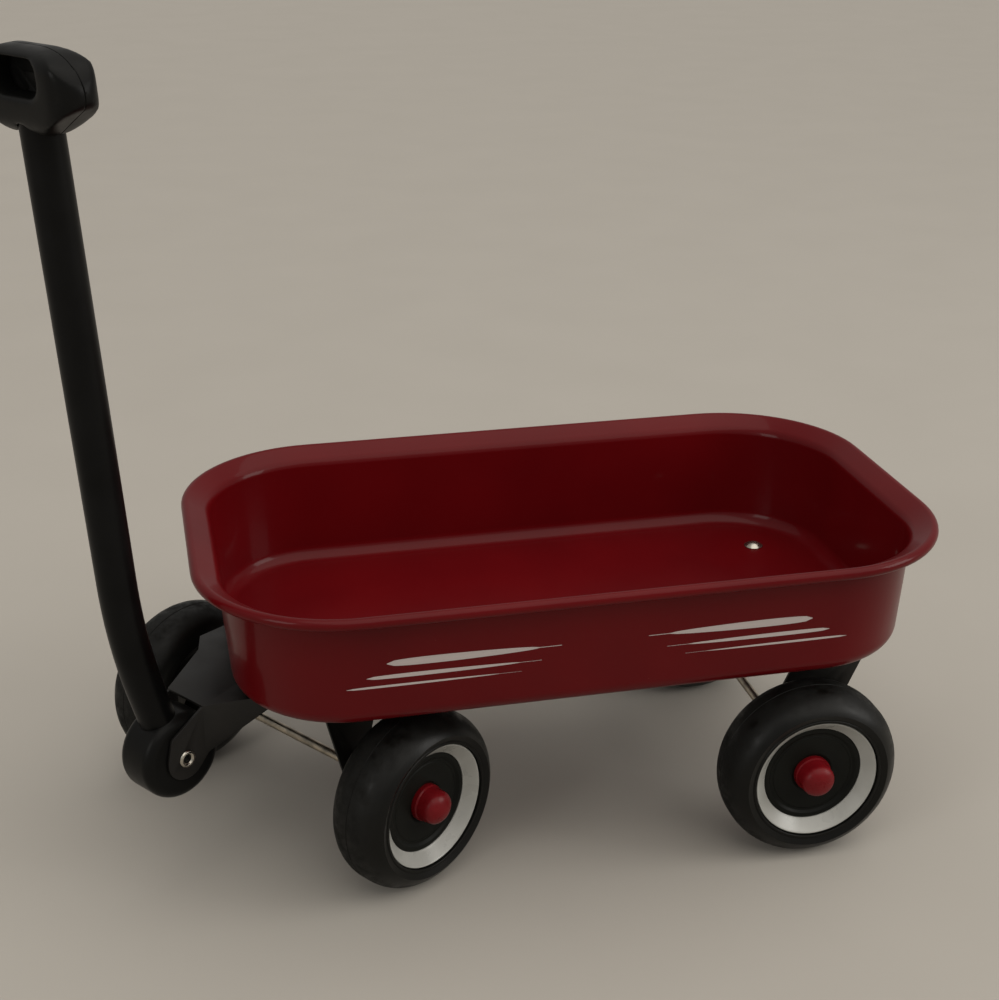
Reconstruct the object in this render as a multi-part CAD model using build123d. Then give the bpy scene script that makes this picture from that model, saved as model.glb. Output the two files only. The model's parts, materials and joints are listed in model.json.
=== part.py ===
"""Toy pull wagon: a pressed steel tray on two folded steel brackets, four wheels and a pull handle.

Millimetres and degrees. +X is the front of the wagon, +Y its left side, +Z up.
The origin is the middle of the tray floor's upper face.
The front truck stands steered to the left and the handle stands nearly upright.
"""
import os
from math import asin, cos, radians, sin, tan

from build123d import *

os.makedirs("parts", exist_ok=True)

# ---------------------------------------------------------------- driving dimensions
# Tray
rim_length = 317.5
rim_width = 190.5
rim_corner_radius = 61.0
tray_depth = 53.3             # floor's upper face to the top of the rolled rim
tray_sheet = 0.9
lip_reach = 11.0              # from the wall's outer face to the rim's outer edge
lip_slope = 30.0              # the lip climbs outward at this angle
lip_bend_radius = 5.0
roll_radius = 1.9             # the rim's rolled edge, to the middle of the sheet
roll_turn = 255.0
wall_draft = 3.1              # each wall leans out by this much up to the lip
floor_radius = 7.4            # bend between the floor and the walls
wheel_headroom = 9.8          # floor's upper face above the tops of the wheels

# Wheels; places along the axle are measured from the wagon's middle plane
wheel_radius = 39.0
tyre_width = 32.0
tyre_shoulder = 14.0
wheel_outer_face = 89.4
tyre_seat_radius = 24.0
tyre_seat_inset = 2.0         # the seat starts this far inside the tyre's inner face
tyre_bead = 3.0               # how far the inner bead's slope climbs above the seat
tyre_lip = 1.3                # thin lip round the ring's outer edge
tyre_lip_rise = 1.5           # straight part of the lip above the ring
ring_outer_radius = 27.3
ring_inner_radius = 22.0
ring_depth = 4.9              # how deep the white ring dishes in
ring_setback = 3.3            # the ring's outer edge lies this far inside the tyre's face
ring_wall = 1.6
hub_face_recess = 0.9         # the hub's face lies this far behind the ring's back edge
hub_rim_width = 2.0           # flat rim round the hub's sunk face
hub_rim_slope = 0.9
hub_rim_chamfer = 0.4
hub_web = 2.8
hub_sleeve_radius = 7.0
hub_sleeve_reach = 2.5        # the sleeve stands this far out of the tyre's inner face
hub_wall = 2.5
hub_ribs = 6
hub_rib_width = 1.8
hub_rib_inset = 3.0           # the ribs stop this far inside the drum's edge
hub_rib_bite = 0.3            # the ribs run this far into sleeve and drum
cap_radius = 8.0
cap_wall = 1.6
cap_height = 11.0
cap_skirt = 1.6               # straight part of the cap above the hub's face
cap_tip_radius = 5.6
cap_tip_rise = 3.0            # rounded end beyond the tapered flank
cap_seat_depth = 1.0
cap_inner_drop = 0.4          # the hollow's flank ends this far below the outer one

# Axles
axle_diameter = 4.0
axle_fit = 0.08               # radial clearance of a running hole
axle_overhang = 3.8           # axle end beyond the hub's face
nut_radius = 5.4
nut_thickness = 1.0
nut_dish = 0.5
play = 0.3                    # end play beside a turning piece
rear_spacer_radius = 6.0
front_spacer_radius = 5.0
rod_chamfer = 0.4
rear_axle_inset = 63.75       # from the rim's rear edge
front_axle_inset = 41.35      # from its front edge; the kingpin stands over this axle

# Rear bracket
bracket_sheet = 1.2
bend_round = 1.0              # outside radius of the bracket's bends
rear_ear_outer = 52.6         # outer face of each ear, from the middle plane
rear_bracket_lag = 20.5       # middle of the bracket's top plate behind the axle
rear_bracket_length = 32.0
rear_ear_end_radius = 14.7
rear_rivet_lead = 1.3         # the rivets ahead of the plate's middle
rear_rivet_y = 46.5
rear_rivet_tail = 1.6         # height of the formed tail
rear_rivet_tail_margin = 1.5  # how much wider it is than the shank, at each side

# Front truck, in its own frame: U forward, V left, the kingpin at U = V = 0
steer_angle = 35.5
yoke_drop = 3.9               # gap between the tray's underside and the yoke's top plate
yoke_front_u = 58.0
yoke_notch_u = 28.0
yoke_notch_v = 28.6
yoke_ear_outer = 38.0
yoke_ear_front_u = 19.5
yoke_ear_back_u = -20.0
yoke_ear_end_radius = 6.5
tab_end_radius = 9.2
tab_nose_radius = 3.0
flange_depth = 22.4           # top face of the yoke to the flange's lower edge at its front
flange_back_depth = 1.6
tab_root = 4.0                # length of the tab's root beside the flange's front end
tab_root_lift = 1.6           # the root's lower corner above the flange's lower edge
tab_root_slope = 0.8
tab_nose_lead = 4.0           # the tab's upper nose ahead of the rivet

# Kingpin
kingpin_diameter = 5.0
kingpin_play = 0.1            # gap above and below the yoke's plate
kingpin_spacer_radius = 13.0
kingpin_washer_radius = 8.0
kingpin_washer_thickness = 1.2
kingpin_tail = 1.8            # height of the formed tail, and its margin round the shank
kingpin_head_extra = 0.5      # its head is this much wider than a bracket rivet's
rivet_head_radius = 4.5
rivet_head_height = 2.0
rivet_shank_diameter = 4.0
head_overlap = 0.2            # the shank runs this far up into its head

# Handle
knuckle_u = 67.7              # knuckle's rivet, ahead of the kingpin
knuckle_drop = 20.3           # its rivet below the yoke's upper face
knuckle_radius = 18.7
knuckle_width = 19.7
knuckle_round = 2.7
knuckle_rivet_diameter = 5.0
knuckle_rivet_bore = 3.8
knuckle_rivet_head_radius = 3.9
knuckle_rivet_head = 0.8
tab_gap = 0.3                 # each side of the knuckle
lower_lean = 16.0             # the shaft's lower run, forward of upright
upper_lean = 3.8
lower_run = 58.0              # knuckle's rivet to the corner of the bend
upper_run = 200.0             # corner of the bend to the underside of the grip
shaft_bend_radius = 250.0
shaft_diameter = 15.3
shaft_wall = 1.2
shaft_socket = 9.2            # how far the shaft enters the knuckle
grip_socket = 9.5             # how far the shaft enters the grip
grip_width = 57.0
grip_height = 29.7
grip_depth = 18.4
grip_collar_width = 18.5
grip_shoulder = 12.0          # height of the corner where the slanted sides end
grip_shoulder_round = 4.5
grip_crown_reach = 22.0       # each end of the crown is a quarter ellipse this long
grip_crown_drop = 15.0
grip_edge_round = 7.5
slot_width = 27.0
slot_height = 12.2
slot_bottom = 14.0
slot_end_flat = 0.7           # the slot's corners are rounded to this short of half round

# Modelling allowances
cut_reach = 1.0               # a cutting tool runs this far past the faces that it cuts
sheet_bite = 0.4              # a folded flange starts this far inside the top plate

# ---------------------------------------------------------------- places that follow from them
floor_height = 2 * wheel_radius + wheel_headroom
ground_z = -floor_height
underside_z = -tray_sheet
axle_z = ground_z + wheel_radius
axle_radius = axle_diameter / 2
tyre_inner_face = wheel_outer_face - tyre_width
ring_front = wheel_outer_face - ring_setback
ring_back = ring_front - ring_depth
hub_face = ring_back - hub_face_recess
hub_inner_end = tyre_inner_face - hub_sleeve_reach
axle_half_length = hub_face + axle_overhang
rear_axle_x = -(rim_length / 2 - rear_axle_inset)
front_axle_x = rim_length / 2 - front_axle_inset
rear_bracket_x = rear_axle_x - rear_bracket_lag
rear_rivet_x = rear_bracket_x + rear_rivet_lead
yoke_top_z = underside_z - yoke_drop
knuckle_z = yoke_top_z - knuckle_drop
tab_outer = knuckle_width / 2 + tab_gap + bracket_sheet


def truck_location():
    """Where the steered front truck's own frame lies in the wagon."""
    return Location((front_axle_x, 0, 0), (0, 0, steer_angle))


def save(shape, name):
    shape.label = name
    export_step(shape, f"parts/{name}.step")


def disc(radius, x, y, bottom, top):
    """An upright cylinder between two heights."""
    return Pos(x, y, (bottom + top) / 2) * Cylinder(radius, top - bottom)


def cross_rod(radius, x, z, start, end):
    """A cylinder along Y between two places."""
    return Pos(x, (start + end) / 2, z) * Rot(90, 0, 0) * Cylinder(radius, end - start)


def spun(points):
    """A ring turned about the Y axis from (radius, y) corners."""
    face = make_face(Polyline(*points, close=True))
    return revolve(face, Axis.Y)


# ---------------------------------------------------------------- tray
def tray_section():
    """Section of wall, lip and rolled edge; X runs outward from the rim's outer edge, Y up."""
    half = tray_sheet / 2
    wall_top = -lip_reach - half
    wall_foot = wall_top - wall_draft
    roll_centre = (-half - roll_radius, tray_depth - half - roll_radius)
    over = radians(90 + lip_slope)
    roll_start = (roll_centre[0] + roll_radius * cos(over), roll_centre[1] + roll_radius * sin(over))
    lip_foot = roll_start[1] - (roll_start[0] - wall_top) * tan(radians(lip_slope))
    wall = FilletPolyline((wall_foot - 2 * floor_radius, -half), (wall_foot, -half),
                          (wall_top, lip_foot), roll_start, radius=[floor_radius, lip_bend_radius])
    roll = CenterArc(roll_centre, roll_radius, 90 + lip_slope, -roll_turn)
    return trace(wall + roll, tray_sheet)


def build_tray():
    section = tray_section()
    half_x = rim_length / 2 - rim_corner_radius
    half_y = rim_width / 2 - rim_corner_radius
    tray = None
    for turn, near, along in ((0, half_x, half_y), (90, half_y, half_x),
                              (180, half_x, half_y), (270, half_y, half_x)):
        place = Plane.XZ * Pos(near + rim_corner_radius, 0) * section
        side = extrude(place, along, both=True)
        corner = revolve(Pos(0, along, 0) * place, Axis((near, along, 0), (0, 0, 1)), 90)
        piece = Rot(0, 0, turn) * (side + corner)
        tray = piece if tray is None else tray + piece
    floor_inset = lip_reach + wall_draft + 2 * floor_radius
    overlap = cut_reach
    floor = RectangleRounded(rim_length - 2 * (floor_inset - overlap),
                             rim_width - 2 * (floor_inset - overlap),
                             rim_corner_radius - floor_inset + overlap)
    tray += Pos(0, 0, -tray_sheet) * extrude(floor, tray_sheet)
    for y in (-rear_rivet_y, rear_rivet_y):
        tray -= disc(rivet_shank_diameter / 2, rear_rivet_x, y, underside_z - cut_reach, cut_reach)
    return tray - disc(kingpin_diameter / 2, front_axle_x, 0, underside_z - cut_reach, cut_reach)


def dome_head(radius, height, x, y, z):
    """A round rivet head standing on the face at height z."""
    ball_radius = (radius**2 + height**2) / (2 * height)
    ball = Pos(x, y, z + height - ball_radius) * Sphere(ball_radius)
    return ball & disc(radius, x, y, z, z + height)


# ---------------------------------------------------------------- rear bracket
def build_rear_bracket():
    top = underside_z - bracket_sheet
    plate = Pos(rear_bracket_x, 0, (underside_z + top) / 2) * Box(
        rear_bracket_length, 2 * rear_ear_outer, bracket_sheet)
    plate = fillet(plate.edges().filter_by(Axis.X).group_by(Axis.Z)[-1], bend_round)
    front = rear_bracket_x + rear_bracket_length / 2
    back = rear_bracket_x - rear_bracket_length / 2
    outline = make_hull([
        Line((back, underside_z - bend_round), (front, underside_z - bend_round)),
        Pos(rear_axle_x, axle_z) * Edge.make_circle(rear_ear_end_radius),
    ])
    bracket = plate
    for side in (-1, 1):
        ear = Pos(0, side * (rear_ear_outer - bracket_sheet / 2), 0) * extrude(
            Plane.XZ * outline, bracket_sheet / 2, both=True)
        bracket += ear
    bracket -= cross_rod(axle_radius, rear_axle_x, axle_z,
                        -rear_ear_outer - cut_reach, rear_ear_outer + cut_reach)
    for y in (-rear_rivet_y, rear_rivet_y):
        bracket -= disc(rivet_shank_diameter / 2, rear_rivet_x, y, top - cut_reach,
                        underside_z + cut_reach)
    return bracket


def build_bracket_rivets():
    tail_face = underside_z - bracket_sheet
    tail_end = tail_face - rear_rivet_tail
    rivets = []
    for y in (-rear_rivet_y, rear_rivet_y):
        shank = disc(rivet_shank_diameter / 2, rear_rivet_x, y, tail_end, head_overlap)
        tail = disc(rivet_shank_diameter / 2 + rear_rivet_tail_margin, rear_rivet_x, y,
                    tail_end, tail_face)
        head = dome_head(rivet_head_radius, rivet_head_height, rear_rivet_x, y, 0)
        rivets.append((shank + tail + head).solid())
    return Compound(rivets)


# ---------------------------------------------------------------- front truck
def slanted_flange(side):
    """The flange folded down along the yoke's slanted edge, deepest at its front."""
    front = Vector(yoke_front_u, side * tab_outer, yoke_top_z)
    back = Vector(yoke_notch_u, side * yoke_notch_v, yoke_top_z)
    run = (back - front).normalized()
    inward = Vector(side * run.Y, -side * run.X, 0) * -1
    down = Vector(0, 0, -1)
    corners = [front + down * sheet_bite, back + down * sheet_bite,
               back + down * flange_back_depth, front + down * flange_depth]
    return extrude(make_face(Polyline(*corners, close=True)), bracket_sheet, dir=inward)


def yoke_tab(side):
    """The parallel tab beside the knuckle, with its rounded end about the rivet."""
    low = yoke_top_z - flange_depth
    root = yoke_front_u - tab_root
    outline = make_hull([
        Line((root, yoke_top_z - bracket_sheet / 2), (yoke_front_u, yoke_top_z - bracket_sheet / 2)),
        Line((root, low + tab_root_lift + tab_root_slope), (root + 1, low + tab_root_lift)),
        Pos(knuckle_u, knuckle_z) * Edge.make_circle(tab_end_radius),
        Pos(knuckle_u + tab_nose_lead, knuckle_z + tab_end_radius) * Edge.make_circle(tab_nose_radius),
    ])
    middle = side * (tab_outer - bracket_sheet / 2)
    return Pos(0, middle, 0) * extrude(Plane.XZ * outline, bracket_sheet / 2, both=True)


def yoke_ear(side):
    """The strap that hangs from the top plate to the axle."""
    outline = make_hull([
        Line((yoke_ear_back_u, yoke_top_z - sheet_bite), (yoke_ear_front_u, yoke_top_z - sheet_bite)),
        Pos(0, axle_z) * Edge.make_circle(yoke_ear_end_radius),
    ])
    middle = side * (yoke_ear_outer - bracket_sheet / 2)
    return Pos(0, middle, 0) * extrude(Plane.XZ * outline, bracket_sheet / 2, both=True)


def build_front_yoke():
    half_outline = [(yoke_front_u, tab_outer), (yoke_notch_u, yoke_notch_v),
                    (yoke_ear_front_u, yoke_ear_outer), (yoke_ear_back_u, yoke_ear_outer)]
    outline = half_outline + [(u, -v) for u, v in reversed(half_outline)]
    yoke = Pos(0, 0, yoke_top_z - bracket_sheet) * extrude(
        make_face(Polyline(*outline, close=True)), bracket_sheet)
    for side in (-1, 1):
        yoke += slanted_flange(side) + yoke_tab(side) + yoke_ear(side)
    yoke -= disc(kingpin_diameter / 2 + axle_fit, 0, 0,
                 yoke_top_z - bracket_sheet - cut_reach, yoke_top_z + cut_reach)
    yoke -= cross_rod(axle_radius, 0, axle_z, -yoke_ear_outer - cut_reach, yoke_ear_outer + cut_reach)
    return yoke - cross_rod(knuckle_rivet_diameter / 2, knuckle_u, knuckle_z,
                            -tab_outer - cut_reach, tab_outer + cut_reach)


def build_kingpin():
    washer_top = yoke_top_z - bracket_sheet - kingpin_play
    tail_top = washer_top - kingpin_washer_thickness
    tail_end = tail_top - kingpin_tail
    shank = disc(kingpin_diameter / 2, front_axle_x, 0, tail_end, head_overlap)
    tail = disc(kingpin_diameter / 2 + kingpin_tail, front_axle_x, 0, tail_end, tail_top)
    head_radius = rivet_head_radius + kingpin_head_extra
    return shank + tail + dome_head(head_radius, rivet_head_height, front_axle_x, 0, 0)


def build_kingpin_spacer():
    bottom = yoke_top_z + kingpin_play
    ring = disc(kingpin_spacer_radius, front_axle_x, 0, bottom, underside_z)
    return ring - disc(kingpin_diameter / 2, front_axle_x, 0, bottom - cut_reach, 0)


def build_kingpin_washer():
    top = yoke_top_z - bracket_sheet - kingpin_play
    bottom = top - kingpin_washer_thickness
    ring = disc(kingpin_washer_radius, front_axle_x, 0, bottom, top)
    return ring - disc(kingpin_diameter / 2, front_axle_x, 0, bottom - cut_reach, top + cut_reach)


# ---------------------------------------------------------------- wheels and axles
def build_tyre():
    """The fat tyre, with its section turned about the axle line."""
    inner, outer = tyre_inner_face, wheel_outer_face
    core = wheel_radius - tyre_shoulder
    lip = ring_outer_radius + tyre_lip
    lip_foot = ring_front + tyre_lip_rise
    reach = (tyre_shoulder**2 - (lip - core)**2) ** 0.5
    bead = tyre_seat_radius + tyre_bead
    bead_reach = (tyre_shoulder**2 - (bead - core)**2) ** 0.5
    diagonal = tyre_shoulder * cos(radians(45))
    line = Polyline((bead, inner + tyre_shoulder - bead_reach), (tyre_seat_radius, inner + tyre_seat_inset),
                    (tyre_seat_radius, ring_back - ring_wall),
                    (ring_outer_radius, ring_back - ring_wall + seat_slope_rise()),
                    (ring_outer_radius, lip_foot))
    lip_end = outer - tyre_shoulder + reach
    line += ThreePointArc((ring_outer_radius, lip_foot),
                          (ring_outer_radius + tyre_lip * 0.27, lip_foot + (lip_end - lip_foot) * 0.75),
                          (lip, lip_end))
    line += ThreePointArc((lip, lip_end),
                          (core + diagonal, outer - tyre_shoulder + diagonal),
                          (wheel_radius, outer - tyre_shoulder))
    line += Line((wheel_radius, outer - tyre_shoulder), (wheel_radius, inner + tyre_shoulder))
    line += ThreePointArc((wheel_radius, inner + tyre_shoulder),
                          (core + diagonal, inner + tyre_shoulder - diagonal),
                          (bead, inner + tyre_shoulder - bead_reach))
    return revolve(make_face(line), Axis.Y)


def seat_slope_rise():
    """Rise of the ring's conical back between the hub drum and the ring's outer edge."""
    slope = ring_depth / (ring_outer_radius - ring_inner_radius)
    return slope * (ring_outer_radius - tyre_seat_radius)


def build_rim_ring():
    """The light dished ring between tyre and hub."""
    back = ring_back - ring_wall
    return spun([(ring_outer_radius, ring_front), (ring_inner_radius, ring_back),
                 (ring_inner_radius, back), (tyre_seat_radius, back),
                 (ring_outer_radius, back + seat_slope_rise())])


def build_hub():
    """The black hub: drum, web, ribs and sleeve, with a shallow recess in its face."""
    drum_inner = tyre_inner_face + tyre_seat_inset
    back = ring_back - ring_wall
    web_back = hub_face - hub_web
    rim = ring_inner_radius
    seat = cap_radius - cap_wall
    bore = axle_radius + axle_fit
    drum_bore = tyre_seat_radius - hub_wall
    hub = spun([(bore, hub_inner_end), (hub_sleeve_radius, hub_inner_end),
                (hub_sleeve_radius, web_back), (drum_bore, web_back), (drum_bore, drum_inner),
                (tyre_seat_radius, drum_inner), (tyre_seat_radius, back), (rim, back),
                (rim, ring_back - hub_rim_chamfer), (rim - hub_rim_chamfer, ring_back),
                (rim - hub_rim_width, ring_back), (rim - hub_rim_width - hub_rim_slope, hub_face),
                (cap_radius, hub_face),
                (cap_radius, hub_face - cap_seat_depth), (seat, hub_face - cap_seat_depth),
                (seat, hub_face), (bore, hub_face)])
    rib_foot = hub_sleeve_radius - hub_rib_bite
    rib_run = drum_bore + hub_rib_bite - rib_foot
    rib_end = drum_inner + hub_rib_inset
    rib_height = web_back + hub_rib_bite - rib_end
    for i in range(hub_ribs):
        rib = Pos(rib_foot + rib_run / 2, rib_end + rib_height / 2, 0) * Box(
            rib_run, rib_height, hub_rib_width)
        hub += Rot(0, i * 360 / hub_ribs, 0) * rib
    return hub


def cap_shape(skirt_radius, tip_radius, foot, skirt, flank_top, end):
    """Short skirt, tapered flank and a ball-shaped end, turned about the Y axis."""
    rise = end - flank_top
    ball_radius = (tip_radius**2 + rise**2) / (2 * rise)
    half_angle = asin(tip_radius / ball_radius) / 2
    middle = (ball_radius * sin(half_angle), end - ball_radius * (1 - cos(half_angle)))
    outline = Polyline((0, end), (0, foot), (skirt_radius, foot), (skirt_radius, skirt),
                       (tip_radius, flank_top))
    outline += ThreePointArc((tip_radius, flank_top), middle, (0, end))
    return revolve(make_face(outline), Axis.Y)


def build_hub_cap():
    """The red cap, hollow over the axle's nut."""
    foot = hub_face - cap_seat_depth
    skirt = hub_face + cap_skirt
    end = hub_face + cap_height
    flank_top = end - cap_tip_rise
    outer = cap_shape(cap_radius, cap_tip_radius, foot, skirt, flank_top, end)
    return outer - cap_shape(cap_radius - cap_wall, cap_tip_radius - cap_wall, foot - cut_reach,
                             skirt, flank_top - cap_inner_drop, end - cap_wall)


def build_axle():
    rod = cross_rod(axle_radius, 0, 0, -axle_half_length, axle_half_length)
    return chamfer(rod.edges().filter_by(GeomType.CIRCLE), rod_chamfer)


def build_push_nuts():
    """The pair of dished nuts pressed on an axle's ends, inside the caps."""
    face = hub_face + play
    section = [(axle_radius, face + nut_dish), (nut_radius, face), (nut_radius, face + nut_thickness),
               (axle_radius, face + nut_thickness + nut_dish)]
    nut = spun(section)
    return Compound([nut.solid(), (Rot(0, 0, 180) * nut).solid()])


def build_spacers(ear_outer, radius):
    """The pair of spacers between an axle's ears and its hubs."""
    end = hub_inner_end - play
    bore = cross_rod(axle_radius, 0, 0, ear_outer - cut_reach, end + cut_reach)
    tube = cross_rod(radius, 0, 0, ear_outer, end) - bore
    return Compound([tube.solid(), (Rot(0, 0, 180) * tube).solid()])


# ---------------------------------------------------------------- handle
def lean(angle, distance):
    """(u, z) step along a run that leans forward of upright by angle."""
    return Vector(distance * sin(radians(angle)), 0, distance * cos(radians(angle)))


knuckle_centre = Vector(knuckle_u, 0, knuckle_z)
bend_corner = knuckle_centre + lean(lower_lean, lower_run)
grip_foot = bend_corner + lean(upper_lean, upper_run)


def shaft_solid(radius):
    """A round bar along the shaft's line."""
    start = knuckle_centre + lean(lower_lean, knuckle_radius - shaft_socket)
    end = grip_foot + lean(upper_lean, grip_socket)
    turn = (lower_lean - upper_lean) / 2
    tangent = shaft_bend_radius * tan(radians(turn))
    before = bend_corner - lean(lower_lean, tangent)
    after = bend_corner + lean(upper_lean, tangent)
    lower = Line(start, before)
    path = lower + TangentArc(before, after, tangent=lower % 1) + Line(after, end)
    section = Plane(origin=start, z_dir=lean(lower_lean, 1)) * Circle(radius)
    return sweep(section, path=path)


def build_handle_shaft():
    return shaft_solid(shaft_diameter / 2) - shaft_solid(shaft_diameter / 2 - shaft_wall)


def build_knuckle():
    puck = Pos(knuckle_centre) * Rot(90, 0, 0) * Cylinder(knuckle_radius, knuckle_width)
    puck = fillet(puck.edges().filter_by(GeomType.CIRCLE), knuckle_round)
    puck -= cross_rod(knuckle_rivet_diameter / 2 + axle_fit, knuckle_u, knuckle_z,
                      -knuckle_width, knuckle_width)
    return puck - shaft_solid(shaft_diameter / 2)


def build_knuckle_rivet():
    """The tubular rivet through both tabs and the knuckle."""
    reach = tab_outer + knuckle_rivet_head
    rivet = cross_rod(knuckle_rivet_diameter / 2, knuckle_u, knuckle_z, -reach, reach)
    for side in (-1, 1):
        start, end = sorted((side * tab_outer, side * reach))
        rivet += cross_rod(knuckle_rivet_head_radius, knuckle_u, knuckle_z, start, end)
    return rivet - cross_rod(knuckle_rivet_bore / 2, knuckle_u, knuckle_z,
                             -reach - cut_reach, reach + cut_reach)


def grip_whole():
    """The loop grip in its own frame: X forward, Y left, Z up the shaft from the grip's foot."""
    w, h = grip_width / 2, grip_height
    crown_start = (w - grip_crown_reach, h - grip_crown_drop)
    outline = Polyline((0, 0), (grip_collar_width / 2, 0), (w, grip_shoulder), (w, crown_start[1]))
    outline += EllipticalCenterArc(crown_start, grip_crown_reach, grip_crown_drop, 0, arc_size=90)
    outline += Line((crown_start[0], h), (0, h))
    outline = make_face(outline + mirror(outline, Plane.YZ))
    shoulders = [v for v in outline.vertices() if abs(v.Y - grip_shoulder) < 0.1]
    outline = fillet(shoulders, grip_shoulder_round)
    front = extrude(Plane.YZ * outline, grip_depth / 2, both=True)
    plan = extrude(Plane.XY * Rot(0, 0, 90) * SlotOverall(grip_width, grip_depth), h)
    side = extrude(Plane.XZ * Pos(0, h / 2) * RectangleRounded(grip_depth, h, grip_edge_round),
                   w, both=True)
    body = front & plan & side
    slot = RectangleRounded(slot_width, slot_height, slot_height / 2 - slot_end_flat)
    middle = slot_bottom + slot_height / 2
    body -= extrude(Plane.YZ * Pos(0, middle) * slot, grip_depth, both=True)
    return body


def build_grip_halves():
    place = Location(grip_foot) * Location((0, 0, 0), (0, upper_lean, 0))
    whole = grip_whole()
    reach = grip_width
    halves = []
    for sign in (1, -1):
        room = Pos(sign * reach / 2, 0, 0) * Box(reach, 2 * reach, 2 * reach)
        halves.append(place * (whole & room) - shaft_solid(shaft_diameter / 2))
    return halves


# ---------------------------------------------------------------- write every piece
def main():
    truck = truck_location()
    save(build_tray(), "tray")
    save(build_rear_bracket(), "rear_bracket")
    save(build_bracket_rivets(), "rear_bracket_rivets")
    save(build_kingpin(), "kingpin_rivet")
    save(build_kingpin_spacer(), "kingpin_spacer")
    save(build_kingpin_washer(), "kingpin_washer")
    save(truck * build_front_yoke(), "front_yoke")

    wheel_parts = {"tyre": build_tyre(), "rim_ring": build_rim_ring(),
                   "hub": build_hub(), "hub_cap": build_hub_cap()}
    axles = {"rear": (Location((rear_axle_x, 0, axle_z)), rear_ear_outer, rear_spacer_radius),
             "front": (truck * Location((0, 0, axle_z)), yoke_ear_outer,
                      front_spacer_radius)}
    for end, (place, ear_outer, spacer_radius) in axles.items():
        save(place * build_axle(), f"{end}_axle")
        save(place * build_push_nuts(), f"{end}_axle_nuts")
        save(place * build_spacers(ear_outer, spacer_radius), f"{end}_hub_spacers")
        for hand, turn in (("left", 0), ("right", 180)):
            for name, shape in wheel_parts.items():
                save(place * Location((0, 0, 0), (0, 0, turn)) * shape, f"{end}_{hand}_{name}")

    save(truck * build_knuckle(), "handle_knuckle")
    save(truck * build_knuckle_rivet(), "knuckle_rivet")
    save(truck * build_handle_shaft(), "handle_shaft")
    front_half, rear_half = build_grip_halves()
    save(truck * front_half, "grip_front_half")
    save(truck * rear_half, "grip_rear_half")


main()
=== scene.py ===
"""Looks of the toy pull wagon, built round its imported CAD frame.

Lengths are in metres; mm() turns a maker's millimetres into them. +X is the wagon's front,
+Y its left side, +Z up, and the origin is the middle of the tray floor's upper face.
"""
import json
from math import atan2, ceil, cos, hypot, pi, radians, sin, tan

import bmesh
import bpy
from mathutils import Matrix, Vector


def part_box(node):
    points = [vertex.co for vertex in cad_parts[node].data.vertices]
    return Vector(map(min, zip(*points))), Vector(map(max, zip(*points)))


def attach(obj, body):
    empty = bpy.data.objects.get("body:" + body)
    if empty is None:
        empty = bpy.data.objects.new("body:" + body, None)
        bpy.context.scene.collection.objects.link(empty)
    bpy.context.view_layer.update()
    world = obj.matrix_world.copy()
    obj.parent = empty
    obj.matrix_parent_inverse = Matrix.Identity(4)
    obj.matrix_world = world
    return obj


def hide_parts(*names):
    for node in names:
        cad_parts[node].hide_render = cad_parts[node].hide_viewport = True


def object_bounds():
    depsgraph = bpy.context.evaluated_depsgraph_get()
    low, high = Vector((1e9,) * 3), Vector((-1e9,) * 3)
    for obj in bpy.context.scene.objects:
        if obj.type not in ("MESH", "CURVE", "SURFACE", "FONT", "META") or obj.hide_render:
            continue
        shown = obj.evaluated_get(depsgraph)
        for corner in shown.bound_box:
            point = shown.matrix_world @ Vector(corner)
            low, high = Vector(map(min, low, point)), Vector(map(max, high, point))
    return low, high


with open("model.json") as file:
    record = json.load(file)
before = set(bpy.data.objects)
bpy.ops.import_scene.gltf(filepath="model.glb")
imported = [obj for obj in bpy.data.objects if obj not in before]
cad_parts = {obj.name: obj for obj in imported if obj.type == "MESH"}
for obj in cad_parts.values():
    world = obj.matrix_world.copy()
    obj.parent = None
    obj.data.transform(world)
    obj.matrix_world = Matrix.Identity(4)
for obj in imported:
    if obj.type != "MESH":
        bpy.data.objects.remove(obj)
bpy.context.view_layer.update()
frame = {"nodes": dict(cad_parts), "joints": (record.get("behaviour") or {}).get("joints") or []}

scene = bpy.context.scene


def mm(value):
    return value / 1000


# ---------------------------------------------------------------- sizes in millimetres
# Tray
RIM_LENGTH, RIM_WIDTH, RIM_CORNER = 317.5, 190.5, 61.0
TRAY_DEPTH, TRAY_SHEET = 53.3, 0.9
LIP_REACH, LIP_SLOPE, LIP_BEND = 11.0, 30.0, 5.0
ROLL_RADIUS, ROLL_TURN = 1.9, 255.0
WALL_DRAFT, FLOOR_BEND = 3.1, 7.4
RIVET_HEAD_RADIUS, RIVET_HEAD_HEIGHT, RIVET_SHANK = 4.5, 2.0, 2.0
KINGPIN_HEAD_RADIUS, KINGPIN_SHANK = 5.0, 2.5
PRINT_GAP, PRINT_THICKNESS = 0.03, 0.05       # printed film over the enamel

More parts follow.
